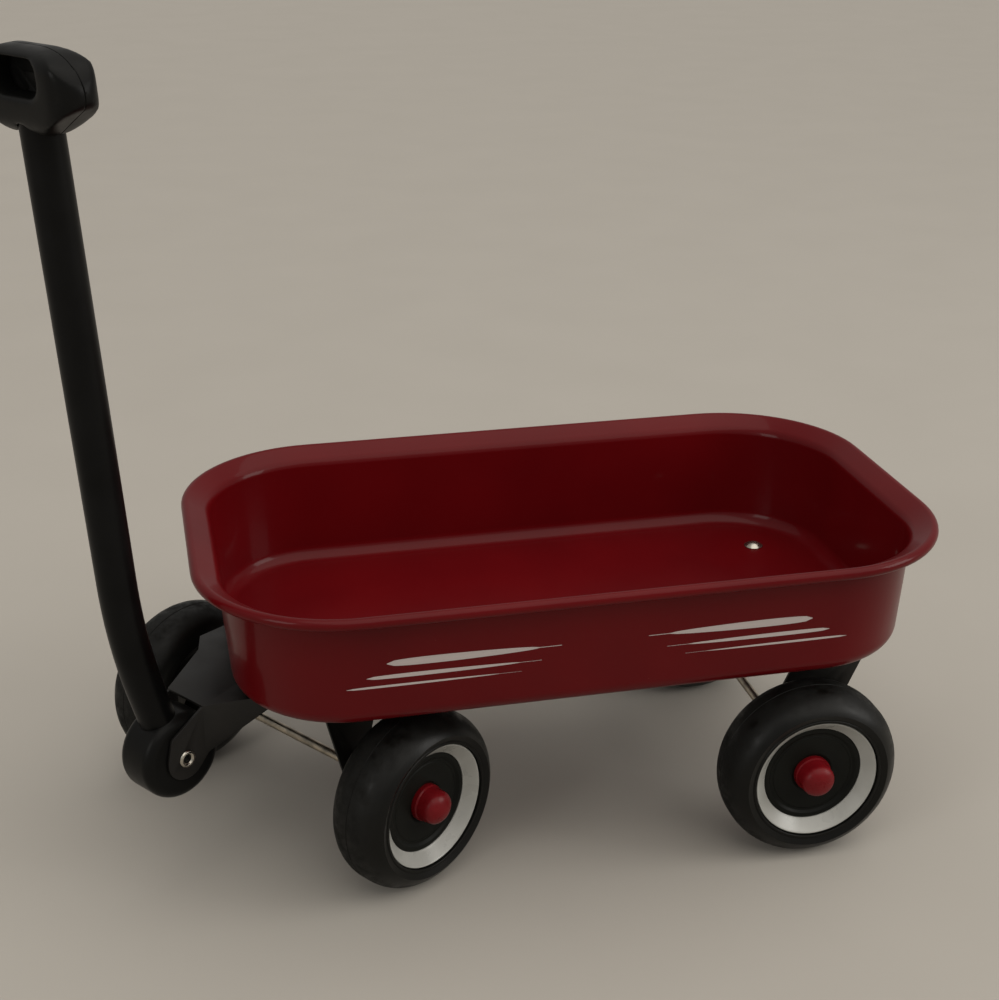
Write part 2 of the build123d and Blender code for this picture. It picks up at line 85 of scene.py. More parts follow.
# Wheels; places along the axle are from the wagon's middle plane
WHEEL_RADIUS = 39.0
TYRE_INNER, TYRE_OUTER, TYRE_SHOULDER = 57.4, 89.4, 14.0
TYRE_SEAT, TYRE_SEAT_INSET = 24.0, 2.0
TYRE_LIP_GAP, TYRE_LIP_RISE = 0.3, 0.9        # outside the ring's edge, above its face
MOULD_LINE_HALF, MOULD_LINE_DEPTH = 0.25, 0.22
TREAD_REACH = 5.0                             # dust fades out this far inside the tread
RING_OUTER, RING_INNER, RING_FRONT, RING_BACK, RING_WALL = 27.3, 22.0, 86.1, 81.2, 1.6
HUB_FACE, HUB_INNER, HUB_SLEEVE, HUB_BORE = 80.3, 54.9, 7.0, 2.08
HUB_WALL, HUB_WEB, HUB_RIBS, HUB_RIB_WIDTH = 2.5, 2.8, 6, 1.8
HUB_RIB_INSET, HUB_RIB_BITE = 5.0, 0.3
CAP_RADIUS, CAP_END, CAP_TIP, CAP_DOME, CAP_WALL = 8.0, 91.3, 7.2, 4.4, 1.6
CAP_SEAT = 0.8                                # the cap sits this deep in the hub's face

# Axles
AXLE_RADIUS, AXLE_HALF, AXLE_CHAMFER = 2.0, 84.1, 0.4

# Handle
KNUCKLE_RADIUS, KNUCKLE_WIDTH, KNUCKLE_ROUND = 18.7, 19.7, 4.2
TAB_OUTER = 11.35
KNUCKLE_RIVET, KNUCKLE_RIVET_SHANK, KNUCKLE_RIVET_BORE = 3.9, 2.5, 1.9
LOWER_LEAN, UPPER_LEAN, LOWER_RUN, UPPER_RUN = 16.0, 3.8, 58.0, 200.0
SHAFT_RADIUS, SHAFT_BEND = 7.65, 250.0
SHAFT_SOCKET, GRIP_SOCKET = 9.2, 9.5
GRIP_VOXEL, GRIP_SOFTENING = 0.8, 34          # grain of the soft form, smoothing steps
SEAM_HALF, SEAM_DEPTH = 0.3, 0.22


# ---------------------------------------------------------------- node helpers
def linear(hex_colour):
    """An sRGB hex colour as the linear colour that shaders take."""
    shares = [int(hex_colour[i:i + 2], 16) / 255 for i in (1, 3, 5)]
    return (*(c / 12.92 if c <= 0.04045 else ((c + 0.055) / 1.055) ** 2.4 for c in shares), 1.0)


def add(tree, kind, inputs=None, **settings):
    """Adds a node with its settings; an input is a value or the socket that feeds it."""
    node = tree.nodes.new(kind)
    for name, value in settings.items():
        setattr(node, name, value)
    for socket, value in (inputs or {}).items():
        if isinstance(value, bpy.types.NodeSocket):
            tree.links.new(value, node.inputs[socket])
        else:
            node.inputs[socket].default_value = value
    return node


def material(name, colour, **sockets):
    """A material with its surface shader, given by sRGB colour and socket values."""
    made = bpy.data.materials.new(name)
    made.use_nodes = True
    tree = made.node_tree
    tree.nodes.clear()
    values = {"Base Color": linear(colour)}
    values.update({label.replace("_", " "): value for label, value in sockets.items()})
    shader = add(tree, "ShaderNodeBsdfPrincipled", values)
    add(tree, "ShaderNodeOutputMaterial", {"Surface": shader.outputs["BSDF"]})
    return made, tree, shader


def grain(tree, where, size, detail=3.0, roughness=0.5, stretch=(1, 1, 1)):
    """Noise from 0 to 1 whose blobs are about that many millimetres across."""
    mapping = add(tree, "ShaderNodeMapping", {"Vector": where, "Scale": stretch})
    noise = add(tree, "ShaderNodeTexNoise", {
        "Vector": mapping.outputs[0], "Scale": 1 / mm(size), "Detail": detail,
        "Roughness": roughness})
    return noise.outputs["Fac"]


def ranged(tree, value, low, high, start=0.3, end=0.7):
    """Spreads a 0 to 1 pattern between two numbers."""
    spread = add(tree, "ShaderNodeMapRange", {
        "Value": value, "From Min": start, "From Max": end, "To Min": low, "To Max": high})
    return spread.outputs[0]


def tinted(tree, share, first, second):
    """Blends two sRGB colours by a pattern."""
    mix = add(tree, "ShaderNodeMix", {0: share, 6: linear(first), 7: linear(second)},
              data_type="RGBA")
    return mix.outputs[2]


def bumped(tree, shader, height, depth, strength=1.0, socket="Normal"):
    """Gives a shader a relief of that many millimetres."""
    bump = add(tree, "ShaderNodeBump", {"Height": height, "Distance": mm(depth),
                                        "Strength": strength})
    tree.links.new(bump.outputs[0], shader.inputs[socket])


def place_of(tree):
    return add(tree, "ShaderNodeTexCoord").outputs["Object"]


# ---------------------------------------------------------------- materials
def red_enamel():
    """Baked enamel on pressed steel: deep red gloss with dust specks and a faint orange peel."""
    made, tree, shader = material("baked red enamel", "#590509", Roughness=0.3, IOR=1.5,
                                  Specular_IOR_Level=0.08, Coat_Weight=0.16,
                                  Coat_Roughness=0.07, Coat_IOR=1.5)
    where = place_of(tree)
    cloud = grain(tree, where, 60, 2.0)
    speck = grain(tree, where, 1.1, 1.0)
    dust = ranged(tree, speck, 0.0, 0.3, 0.80, 0.84)
    base = tinted(tree, ranged(tree, cloud, 0.0, 1.0), "#550409", "#5E060B")
    dusty = add(tree, "ShaderNodeMix", {0: dust, 6: base, 7: linear("#8A5450")},
                data_type="RGBA").outputs[2]
    tree.links.new(dusty, shader.inputs["Base Color"])
    tree.links.new(ranged(tree, grain(tree, where, 9, 2.0), 0.28, 0.32), shader.inputs["Roughness"])
    peel = grain(tree, where, 1.6, 1.5)
    bumped(tree, shader, peel, 0.006, socket="Coat Normal")
    bumped(tree, shader, peel, 0.003)
    return made


def black_powder_coat():
    """Powder coat on folded steel: satin black, its fine pebble drawn at 0.7 mm to show."""
    made, tree, shader = material("satin black powder coat", "#171615", Roughness=0.4, IOR=1.5,
                                  Specular_IOR_Level=0.3)
    where = place_of(tree)
    rub = grain(tree, where, 14, 5.0, 0.6)
    tree.links.new(tinted(tree, ranged(tree, rub, 0.0, 1.0), "#121110", "#1D1B19"),
                   shader.inputs["Base Color"])
    tree.links.new(ranged(tree, rub, 0.34, 0.5), shader.inputs["Roughness"])
    bumped(tree, shader, grain(tree, where, 0.7, 2.0), 0.02)
    return made


def black_tube_paint():
    """Stoved black paint on a drawn tube: semi-gloss, with faint lines along the tube."""
    made, tree, shader = material("stoved black tube paint", "#0A0A0B", Roughness=0.33, IOR=1.5,
                                  Specular_IOR_Level=0.08, Coat_Weight=0.06,
                                  Coat_Roughness=0.22)
    where = add(tree, "ShaderNodeUVMap", uv_map="surface").outputs[0]
    lines = grain(tree, where, 0.9, 2.0, stretch=(1, 0.02, 1))
    smear = grain(tree, place_of(tree), 22, 4.0)
    tree.links.new(tinted(tree, ranged(tree, smear, 0.0, 1.0), "#080808", "#0F0F0F"),
                   shader.inputs["Base Color"])
    tree.links.new(ranged(tree, smear, 0.28, 0.42), shader.inputs["Roughness"])
    bumped(tree, shader, lines, 0.006)
    return made


def moulded_black(name, low, high, rough, pebble, depth):
    """Black injection moulding with the fine spark texture of its tool."""
    made, tree, shader = material(name, low, Roughness=rough, IOR=1.49,
                                  Specular_IOR_Level=0.11)
    where = place_of(tree)
    flow = grain(tree, where, 25, 3.0)
    tree.links.new(tinted(tree, ranged(tree, flow, 0.0, 1.0), low, high),
                   shader.inputs["Base Color"])
    tree.links.new(ranged(tree, grain(tree, where, 6, 4.0), rough - 0.05, rough + 0.07),
                   shader.inputs["Roughness"])
    bumped(tree, shader, grain(tree, where, pebble, 2.0), depth)
    return made


def tyre_plastic():
    """Blow-moulded vinyl tyre: soft satin black, with pale dust picked up on the tread."""
    made, tree, shader = material("satin black vinyl tyre", "#0C0C0A", Roughness=0.36, IOR=1.5,
                                  Specular_IOR_Level=0.2)
    where = place_of(tree)
    tread = add(tree, "ShaderNodeAttribute", attribute_name="tread").outputs["Fac"]
    patch = grain(tree, where, 7, 5.0, 0.65)
    worn = add(tree, "ShaderNodeMath", {0: tread, 1: ranged(tree, patch, 0.0, 0.6)},
               operation="MULTIPLY").outputs[0]
    tree.links.new(tinted(tree, worn, "#0A0A08", "#181715"), shader.inputs["Base Color"])
    rough = add(tree, "ShaderNodeMath", {0: ranged(tree, patch, 0.30, 0.40), 1: worn},
                operation="ADD").outputs[0]
    tree.links.new(rough, shader.inputs["Roughness"])
    bumped(tree, shader, grain(tree, where, 0.8, 2.0), 0.015)
    return made


def white_ring_plastic():
    """Polystyrene ring: cold light grey, smooth, slightly cloudy."""
    made, tree, shader = material("grey-white polystyrene", "#A4A49F", Roughness=0.3, IOR=1.59,
                                  Subsurface_Weight=0.1)
    shader.inputs["Subsurface Radius"].default_value = (mm(1), mm(1), mm(1))
    where = place_of(tree)
    cloud = grain(tree, where, 12, 4.0)
    tree.links.new(tinted(tree, ranged(tree, cloud, 0.0, 1.0), "#9D9D98", "#AAAAA5"),
                   shader.inputs["Base Color"])
    tree.links.new(ranged(tree, cloud, 0.24, 0.38), shader.inputs["Roughness"])
    bumped(tree, shader, grain(tree, where, 1.0, 2.0), 0.004)
    return made


def red_cap_plastic():
    """Polythene cap: waxy deep red with a soft broad gloss."""
    made, tree, shader = material("waxy red polythene", "#6B0A11", Roughness=0.32, IOR=1.51,
                                  Specular_IOR_Level=0.2, Subsurface_Weight=0.15)
    shader.inputs["Subsurface Radius"].default_value = (mm(1.5), mm(0.4), mm(0.3))
    where = place_of(tree)
    cloud = grain(tree, where, 5, 3.0)
    tree.links.new(tinted(tree, ranged(tree, cloud, 0.0, 1.0), "#660910", "#720C14"),
                   shader.inputs["Base Color"])
    tree.links.new(ranged(tree, cloud, 0.26, 0.4), shader.inputs["Roughness"])
    bumped(tree, shader, grain(tree, where, 0.9, 2.0), 0.008)
    return made


def nickel_plate(name, colour, rough, stretch):
    """Nickel plate on drawn steel: warm grey metal with fine lines where it was drawn."""
    made, tree, shader = material(name, colour, Metallic=1.0, Roughness=rough)
    where = add(tree, "ShaderNodeUVMap", uv_map="surface").outputs[0]
    lines = grain(tree, where, 0.6, 3.0, stretch=stretch)
    stain = grain(tree, place_of(tree), 5, 5.0)
    tree.links.new(tinted(tree, ranged(tree, stain, 0.0, 1.0), colour, "#8C8579"),
                   shader.inputs["Base Color"])
    tree.links.new(ranged(tree, lines, rough - 0.06, rough + 0.12), shader.inputs["Roughness"])
    bumped(tree, shader, lines, 0.004)
    return made


def plated_sheet():
    """Zinc plate on stamped sheet: dull grey metal with cloudy stains."""
    made, tree, shader = material("zinc-plated sheet steel", "#A39E94", Metallic=1.0,
                                  Roughness=0.4)
    cloud = grain(tree, place_of(tree), 3, 4.0)
    tree.links.new(tinted(tree, ranged(tree, cloud, 0.0, 1.0), "#A39E94", "#878076"),
                   shader.inputs["Base Color"])
    tree.links.new(ranged(tree, cloud, 0.32, 0.5), shader.inputs["Roughness"])
    bumped(tree, shader, grain(tree, place_of(tree), 0.8, 2.0), 0.004)
    return made


def pale_ink():
    """Pad-printed ink: flat grey-white, thin enough that a few pinholes look red."""
    made, tree, shader = material("pad-printed pale ink", "#B9AFAC", Roughness=0.42, IOR=1.5)
    where = place_of(tree)
    holes = ranged(tree, grain(tree, where, 0.9, 3.0, 0.6), 0.0, 0.7, 0.68, 0.78)
    tree.links.new(tinted(tree, holes, "#B9AFAC", "#8A3A3C"), shader.inputs["Base Color"])
    tree.links.new(ranged(tree, grain(tree, where, 4, 3.0), 0.34, 0.5), shader.inputs["Roughness"])
    bumped(tree, shader, grain(tree, where, 0.8, 2.0), 0.004)
    return made


ENAMEL = red_enamel()
POWDER_COAT = black_powder_coat()
TUBE_PAINT = black_tube_paint()
HANDLE_PLASTIC = moulded_black("satin black polypropylene", "#0C0C0C", "#121211",
                               0.34, 0.7, 0.02)
HUB_PLASTIC = moulded_black("black hub moulding", "#0E0F0D", "#151613", 0.42, 0.8, 0.015)
SPACER_PLASTIC = moulded_black("dull black nylon", "#1A1A19", "#232322", 0.55, 0.6, 0.02)
TYRE_VINYL = tyre_plastic()
RING_PLASTIC = white_ring_plastic()
CAP_PLASTIC = red_cap_plastic()
AXLE_STEEL = nickel_plate("nickel-plated drawn rod", "#C9BCA8", 0.32, (1, 0.03, 1))
RIVET_STEEL = nickel_plate("nickel-plated rivet", "#C9C4BA", 0.24, (0.2, 1, 1))
SHEET_STEEL = plated_sheet()
INK = pale_ink()


# ---------------------------------------------------------------- mesh helpers
def rounded(corners, closed=True, step=9.0):
    """An outline's points from its corners, given as (x, y) or (x, y, radius)."""
    points, count = [], len(corners)
    for i, corner in enumerate(corners):
        here = Vector(corner[:2])
        if len(corner) < 3 or (not closed and i in (0, count - 1)):
            points.append(here)
            continue
        before = (Vector(corners[i - 1][:2]) - here).normalized()
        after = (Vector(corners[(i + 1) % count][:2]) - here).normalized()
        half = before.angle(after) / 2
        centre = here + (before + after).normalized() * (corner[2] / sin(half))
        start = here + before * (corner[2] / tan(half)) - centre
        end = here + after * (corner[2] / tan(half)) - centre
        first = atan2(start.y, start.x)
        turn = (atan2(end.y, end.x) - first + pi) % (2 * pi) - pi
        parts = max(2, ceil(abs(turn) / radians(step)))
        for k in range(parts + 1):
            angle = first + turn * k / parts
            points.append(centre + corner[2] * Vector((cos(angle), sin(angle))))
    return points


def arc(centre, radius, start, end, step=6.0):
    """Points of an arc between two angles in degrees."""
    parts = max(2, ceil(abs(end - start) / step))
    angles = [radians(start + (end - start) * k / parts) for k in range(parts + 1)]
    return [Vector((centre[0] + radius * cos(a), centre[1] + radius * sin(a))) for a in angles]


def spun(points, turns=96, closed=True):
    """A mesh turned about the Y axis from (radius, y) points in mm, with a UV map in metres."""
    bm = bmesh.new()
    uv = bm.loops.layers.uv.new("surface")
    rings = []
    for radius, y in points:
        if radius < 1e-6:
            rings.append([bm.verts.new((0, mm(y), 0))] * turns)
        else:
            rings.append([bm.verts.new((mm(radius * cos(2 * pi * k / turns)), mm(y),
                                        mm(-radius * sin(2 * pi * k / turns))))
                          for k in range(turns)])
    along = [0.0]
    for a, b in zip(points, points[1:] + points[:1]):
        along.append(along[-1] + mm(hypot(a[0] - b[0], a[1] - b[1])))
    widest = mm(max(p[0] for p in points)) * 2 * pi
    pairs = len(points) if closed else len(points) - 1
    for i in range(pairs):
        j = (i + 1) % len(points)
        for k in range(turns):
            n = (k + 1) % turns
            spots = [(rings[i][k], k, i), (rings[i][n], k + 1, i),
                     (rings[j][n], k + 1, i + 1), (rings[j][k], k, i + 1)]
            kept = [s for m, s in enumerate(spots) if s[0] != spots[m - 1][0]]
            if len({s[0] for s in kept}) < 3:
                continue
            face = bm.faces.new([s[0] for s in kept])
            for loop, (_, turn, row) in zip(face.loops, kept):
                loop[uv].uv = (widest * turn / turns, along[row])
    bmesh.ops.recalc_face_normals(bm, faces=bm.faces)
    return to_mesh(bm, "spun")


def to_mesh(bm, name):
    mesh = bpy.data.meshes.new(name)
    bm.to_mesh(mesh)
    bm.free()
    return mesh


def shown(name, mesh, finish, body, nodes=(), sharp=35.0):
    """Puts a finished mesh into the scene as a piece that rides on a CAD body."""
    if not mesh.materials:
        mesh.materials.append(finish)
    mesh.shade_smooth()
    mesh.set_sharp_from_angle(angle=radians(sharp))
    piece = bpy.data.objects.new(name, mesh)
    scene.collection.objects.link(piece)
    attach(piece, body)
    if nodes:
        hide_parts(*nodes)
    return piece


def merged_copy(node):
    """A CAD node's mesh with its loose triangles merged and its flat faces made whole."""
    bm = bmesh.new()
    bm.from_mesh(frame["nodes"][node].data)
    bmesh.ops.remove_doubles(bm, verts=bm.verts, dist=1e-6)
    bmesh.ops.dissolve_limit(bm, angle_limit=radians(0.5), verts=bm.verts, edges=bm.edges)
    return to_mesh(bm, node)


def held(mesh):
    """A passing object that carries a mesh while modifiers work on it."""
    holder = bpy.data.objects.new("holder", mesh)
    scene.collection.objects.link(holder)
    return holder


def released(holder):
    """The plain mesh that a holder's modifiers leave; the holder goes."""
    depsgraph = bpy.context.evaluated_depsgraph_get()
    made = bpy.data.meshes.new_from_object(holder.evaluated_get(depsgraph))
    bpy.data.objects.remove(holder)
    return made


def modified(mesh, *modifiers):
    """The plain mesh left after modifiers, each given as (kind, settings)."""
    holder = held(mesh)
    for kind, settings in modifiers:
        modifier = holder.modifiers.new(kind, kind)
        for name, value in settings.items():
            setattr(modifier, name, value)
    return released(holder)


def grown(base, tree, values):
    """The plain mesh that a geometry tree makes from a base mesh."""
    holder = held(base)
    modifier = holder.modifiers.new("shape", "NODES")
    modifier.node_group = tree
    for item in tree.interface.items_tree:
        if item.in_out == "INPUT" and item.name in values:
            modifier[item.identifier] = values[item.name]
    return released(holder)


def geometry_tree(name, **inputs):
    """A geometry tree with named inputs; returns it with those inputs' sockets by name."""
    tree = bpy.data.node_groups.new(name, "GeometryNodeTree")
    face = tree.interface
    face.new_socket("Geometry", in_out="INPUT", socket_type="NodeSocketGeometry")
    for label, kind in inputs.items():
        face.new_socket(label, in_out="INPUT", socket_type="NodeSocket" + kind)
    face.new_socket("Geometry", in_out="OUTPUT", socket_type="NodeSocketGeometry")
    return tree, add(tree, "NodeGroupInput").outputs


def completed(tree, last, finish):
    """Ends a geometry tree: its instances made real, with their material."""
    solid = add(tree, "GeometryNodeRealizeInstances", {"Geometry": last.outputs[0]})
    done = add(tree, "GeometryNodeSetMaterial",
               {"Geometry": solid.outputs[0], "Material": finish})
    add(tree, "NodeGroupOutput", {"Geometry": done.outputs[0]})
    return tree


# ---------------------------------------------------------------- tray
def tray_section():
    """The middle line of the tray's sheet, from the floor out to the end of the rolled edge."""
    half = TRAY_SHEET / 2
    wall_top = -LIP_REACH - half
    wall_foot = wall_top - WALL_DRAFT
    roll = (-half - ROLL_RADIUS, TRAY_DEPTH - half - ROLL_RADIUS)
    edge = arc(roll, ROLL_RADIUS, 90 + LIP_SLOPE, 90 + LIP_SLOPE - ROLL_TURN, 15)
    lip_foot = edge[0].y - (edge[0].x - wall_top) * tan(radians(LIP_SLOPE))
    wall = rounded([(wall_foot - 2 * FLOOR_BEND, -half), (wall_foot, -half, FLOOR_BEND),
                    (wall_top, lip_foot, LIP_BEND), tuple(edge[0])], closed=False)
    return wall[:-1] + edge, (wall_foot, wall_top, lip_foot)


def sheet_sweep_tree():
    """Sweeps a sheet's section round a rectangle with rounded corners."""
    tree, given = geometry_tree("pressed rim sweep", Length="Float", Width="Float",
                                Corner="Float", Steps="Int", Finish="Material")
    path = add(tree, "GeometryNodeCurvePrimitiveQuadrilateral",
               {"Width": given["Length"], "Height": given["Width"]}, mode="RECTANGLE")
    smooth = add(tree, "GeometryNodeCurveSplineType", {"Curve": path.outputs[0]},
                 spline_type="BEZIER")
    bends = add(tree, "GeometryNodeFilletCurve",
                {"Curve": smooth.outputs[0], "Radius": given["Corner"]}, mode="BEZIER")
    fine = add(tree, "GeometryNodeSetSplineResolution",
               {"Geometry": bends.outputs[0], "Resolution": given["Steps"]})
    flat = add(tree, "GeometryNodeSetCurveNormal", {"Curve": fine.outputs[0]}, mode="Z_UP")
    section = add(tree, "GeometryNodeMeshToCurve", {"Mesh": given["Geometry"]})
    sheet = add(tree, "GeometryNodeCurveToMesh",
                {"Curve": flat.outputs[0], "Profile Curve": section.outputs[0]})
    return completed(tree, sheet, given["Finish"])


def polyline_mesh(points, name):
    """A mesh of edges through points given in mm."""
    mesh = bpy.data.meshes.new(name)
    mesh.from_pydata([tuple(mm(c) for c in p) for p in points],
                     [(i, i + 1) for i in range(len(points) - 1)], [])
    return mesh


def build_tray():
    """The pressed tub: one sheet swept round the rim, its floor filled in, then given its gauge."""
    section, _ = tray_section()
    profile = polyline_mesh([(p.x, -p.y, 0) for p in section], "tray section")
    swept = grown(profile, sheet_sweep_tree(), {
        "Length": mm(RIM_LENGTH), "Width": mm(RIM_WIDTH), "Corner": mm(RIM_CORNER),
        "Steps": 20, "Finish": ENAMEL})
    bm = bmesh.new()
    bm.from_mesh(swept)
    bmesh.ops.remove_doubles(bm, verts=bm.verts, dist=1e-6)
    low = min(v.co.z for v in bm.verts) + 1e-5
    floor_edge = [e for e in bm.edges if e.is_boundary and all(v.co.z < low for v in e.verts)]
    bmesh.ops.contextual_create(bm, geom=floor_edge)
    bmesh.ops.recalc_face_normals(bm, faces=bm.faces)
    tub = modified(to_mesh(bm, "tray"), ("SOLIDIFY", {
        "thickness": mm(TRAY_SHEET), "offset": 0.0, "use_even_offset": True}))
    shown("tray_tub", tub, ENAMEL, "wagon", ["tray"], sharp=40)


# Plain tapered stripes along the front half of a side, in mm; the rear half mirrors them:
# (blunt end, sharp end, height above the floor, thickness)
STRIPES = [(88, 18, 27.5, 3.4), (96, 26, 21.6, 1.8), (104, 34, 17.4, 1.0)]
STRIPE_STEPS = 24


def stripe_half_width(share, thickness):
    """Half the width of a stripe at a share of its length from the blunt end."""
    swell = sin(pi * min(1, share * 1.15) ** 0.6) ** 0.5
    return thickness / 2 * (swell * 0.92 + 0.08)


def add_stripe(bm, along, across, start, end, height, thickness):
    """One closed film on the leaning wall; along and across are 1 or -1, for end and side."""
    _, (wall_foot, wall_top, lip_foot) = tray_section()
    slope = (wall_top - wall_foot) / lip_foot
    rows = []
    for k in range(STRIPE_STEPS + 1):
        share = k / STRIPE_STEPS
        x = along * (start + (end - start) * share)
        half = stripe_half_width(share, thickness)
        row = []
        for z in (height - half, height + half):
            y = RIM_WIDTH / 2 + wall_foot + slope * z + TRAY_SHEET / 2 + PRINT_GAP
            row.append([bm.verts.new((mm(x), mm(across * (y + lift)), mm(z)))
                        for lift in (0, PRINT_THICKNESS)])
        rows.append(row)
    for (a, b), (c, d) in zip(rows, rows[1:]):
        for corners in ((a[1], c[1], d[1], b[1]), (a[0], b[0], d[0], c[0]),
                        (a[0], c[0], c[1], a[1]), (b[0], b[1], d[1], d[0])):
            bm.faces.new(corners)
    for a, b in (rows[0], rows[-1]):
        bm.faces.new((a[0], a[1], b[1], b[0]))


def build_stripes():
    """Plain tapered stripes printed on both long sides."""
    bm = bmesh.new()
    for across in (1, -1):
        for along in (-1, 1):
            for stripe in STRIPES:
                add_stripe(bm, along, across, *stripe)
    bmesh.ops.recalc_face_normals(bm, faces=bm.faces)
    shown("side_stripes", to_mesh(bm, "stripes"), INK, "wagon")


# ---------------------------------------------------------------- rivets and brackets
def dome_profile(radius, height, shank, depth):
    """Half-section of a round-headed rivet whose head stands on y = 0."""
    ball = (radius**2 + height**2) / (2 * height)
    tip = 90 - atan2(radius, ball - height) * 180 / pi
    head = arc((0, height - ball), ball, 90, tip + 3, 6)
    return [(max(0, p.x), p.y) for p in head] + [(radius, 0.25), (radius - 0.15, 0), (shank, 0),
                                                 (shank, -depth), (0, -depth)]


UPRIGHT = Matrix.Rotation(pi / 2, 4, "X")      # turns the Y axis of a spun piece up


def rivet_row_tree():
    """Sets one rivet at each given point."""
    tree, given = geometry_tree("rivets at points", Rivet="Object", Finish="Material")
    shape = add(tree, "GeometryNodeObjectInfo", {"Object": given["Rivet"]})
    copies = add(tree, "GeometryNodeInstanceOnPoints",
                 {"Points": given["Geometry"], "Instance": shape.outputs["Geometry"]})
    return completed(tree, copies, given["Finish"])


def build_rivets():
    """The pair through the floor and the rear bracket, and the large one the truck turns on."""
    low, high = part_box("rear_bracket_rivets")
    centre_x = (low.x + high.x) / 2 * 1000
    reach = (high.y - low.y) / 2 * 1000 - RIVET_HEAD_RADIUS
    pattern = spun(dome_profile(RIVET_HEAD_RADIUS, RIVET_HEAD_HEIGHT, RIVET_SHANK,
                                -low.z * 1000), 48)
    pattern.transform(UPRIGHT)
    rivet = bpy.data.objects.new("rivet pattern", pattern)
    points = polyline_mesh([(centre_x, -reach, 0), (centre_x, reach, 0)], "rivet points")
    pair = grown(points, rivet_row_tree(), {"Rivet": rivet, "Finish": RIVET_STEEL})
    bpy.data.objects.remove(rivet)
    shown("floor_rivets", pair, RIVET_STEEL, "wagon", ["rear_bracket_rivets"])

    low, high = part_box("kingpin_rivet")
    kingpin = spun(dome_profile(KINGPIN_HEAD_RADIUS, RIVET_HEAD_HEIGHT, KINGPIN_SHANK,
                                -low.z * 1000), 64)
    kingpin.transform(Matrix.Translation(((low.x + high.x) / 2, 0, 0)) @ UPRIGHT)
    shown("kingpin", kingpin, RIVET_STEEL, "wagon", ["kingpin_rivet"])


def build_folded_pieces():
    """Brackets, spacers and washer keep their CAD shapes, with their cut edges eased."""
    for name, node, finish, body, slot, ease in (
            ("rear_saddle", "rear_bracket", POWDER_COAT, "wagon", "bracket_paint", 0.3),
            ("steering_yoke", "front_yoke", POWDER_COAT, "front_truck", "bracket_paint", 0.3),
            ("truck_spacer", "kingpin_spacer", SPACER_PLASTIC, "wagon", "spacer_plastic", 0.4),
            ("truck_washer", "kingpin_washer", SHEET_STEEL, "wagon", "plated_steel", 0.15),
            ("rear_spacers", "rear_hub_spacers", SPACER_PLASTIC, "wagon", "spacer_plastic", 0.2),
            ("front_spacers", "front_hub_spacers", SPACER_PLASTIC, "front_truck",
             "spacer_plastic", 0.2)):
        eased = modified(merged_copy(node), ("BEVEL", {
            "width": mm(ease), "segments": 3, "limit_method": "ANGLE",
            "angle_limit": radians(35), "use_clamp_overlap": True}))
        eased.materials.clear()
        shown(name, eased, finish, body, [node], sharp=50)


# ---------------------------------------------------------------- wheels
def wheel_place(joint):
    """Where a wheel's own frame lies: origin on the axle at the middle plane, +Y outward."""
    outward = Vector(joint["axis"]).normalized()
    if "right" in joint["name"]:
        outward = -outward
    origin = Vector(joint["pos_m"]) - outward * mm((TYRE_INNER + TYRE_OUTER) / 2)
    up = Vector((0, 0, 1))
    forward = outward.cross(up)
    turn = Matrix((forward, outward, up)).transposed().to_4x4()
    return Matrix.Translation(origin) @ turn


def tyre_profile():
    """Half-section of the fat tyre: bead, lip round the ring, side, tread with its mould line."""
    core, middle = WHEEL_RADIUS - TYRE_SHOULDER, (TYRE_INNER + TYRE_OUTER) / 2
    outer, inner = TYRE_OUTER - TYRE_SHOULDER, TYRE_INNER + TYRE_SHOULDER
    lip, lip_top = RING_OUTER + TYRE_LIP_GAP, RING_FRONT + TYRE_LIP_RISE
    seat_start, seat_end = TYRE_INNER + TYRE_SEAT_INSET, RING_BACK - RING_WALL
    line, groove = MOULD_LINE_HALF, WHEEL_RADIUS - MOULD_LINE_DEPTH
    side = arc((core, outer), TYRE_SHOULDER, 0, 62, 4)
    back = arc((core, inner), TYRE_SHOULDER, -80, 0, 4)
    points = rounded([(TYRE_SEAT, seat_start), (TYRE_SEAT, seat_end), (lip, seat_end + 3),
                      (lip, lip_top, 0.35), (lip + 1.1, lip_top, 0.3),
                      (lip + 1.35, lip_top - 0.35, 0.15), (lip + 1.8, lip_top - 0.15, 0.4),
                      tuple(side[-1])], closed=False)
    points += list(reversed(side))
    points += [Vector((WHEEL_RADIUS, middle + line)), Vector((groove, middle + line / 5)),
               Vector((groove, middle - line / 5)), Vector((WHEEL_RADIUS, middle - line))]
    points += list(reversed(back))
    points += rounded([tuple(back[0]), (TYRE_SEAT + 3.0, TYRE_INNER + 0.6, 0.5),
                       (TYRE_SEAT, seat_start)], closed=False)[1:-1]
    return [(p[0], p[1]) for p in points]


def mark_tread(mesh, place):
    """Writes how near each point is to the tread, for the dust that it picks up."""
    tread = mesh.attributes.new("tread", "FLOAT", "POINT")
    inside = place.inverted()
    for i, vertex in enumerate(mesh.vertices):
        point = inside @ vertex.co
        radius = hypot(point.x, point.z) * 1000
        share = (radius - WHEEL_RADIUS + TREAD_REACH) / TREAD_REACH
        tread.data[i].value = max(0.0, min(1.0, share))


def ring_profile():
    """Half-section of the dished ring, with its bright rolled outer edge."""
    back = RING_BACK - RING_WALL
    outer = RING_OUTER - 0.05
    slope = (RING_FRONT - RING_BACK) / (RING_OUTER - RING_INNER)
    return rounded([(outer, RING_FRONT + 0.2, 0.35), (outer - 0.9, RING_FRONT - 0.55, 0.4),
                    (RING_INNER + 0.5, RING_BACK + 0.4, 0.3), (RING_INNER, RING_BACK, 0.2),
                    (RING_INNER, back), (TYRE_SEAT, back),
                    (outer, back + slope * (RING_OUTER - TYRE_SEAT), 0.3)])


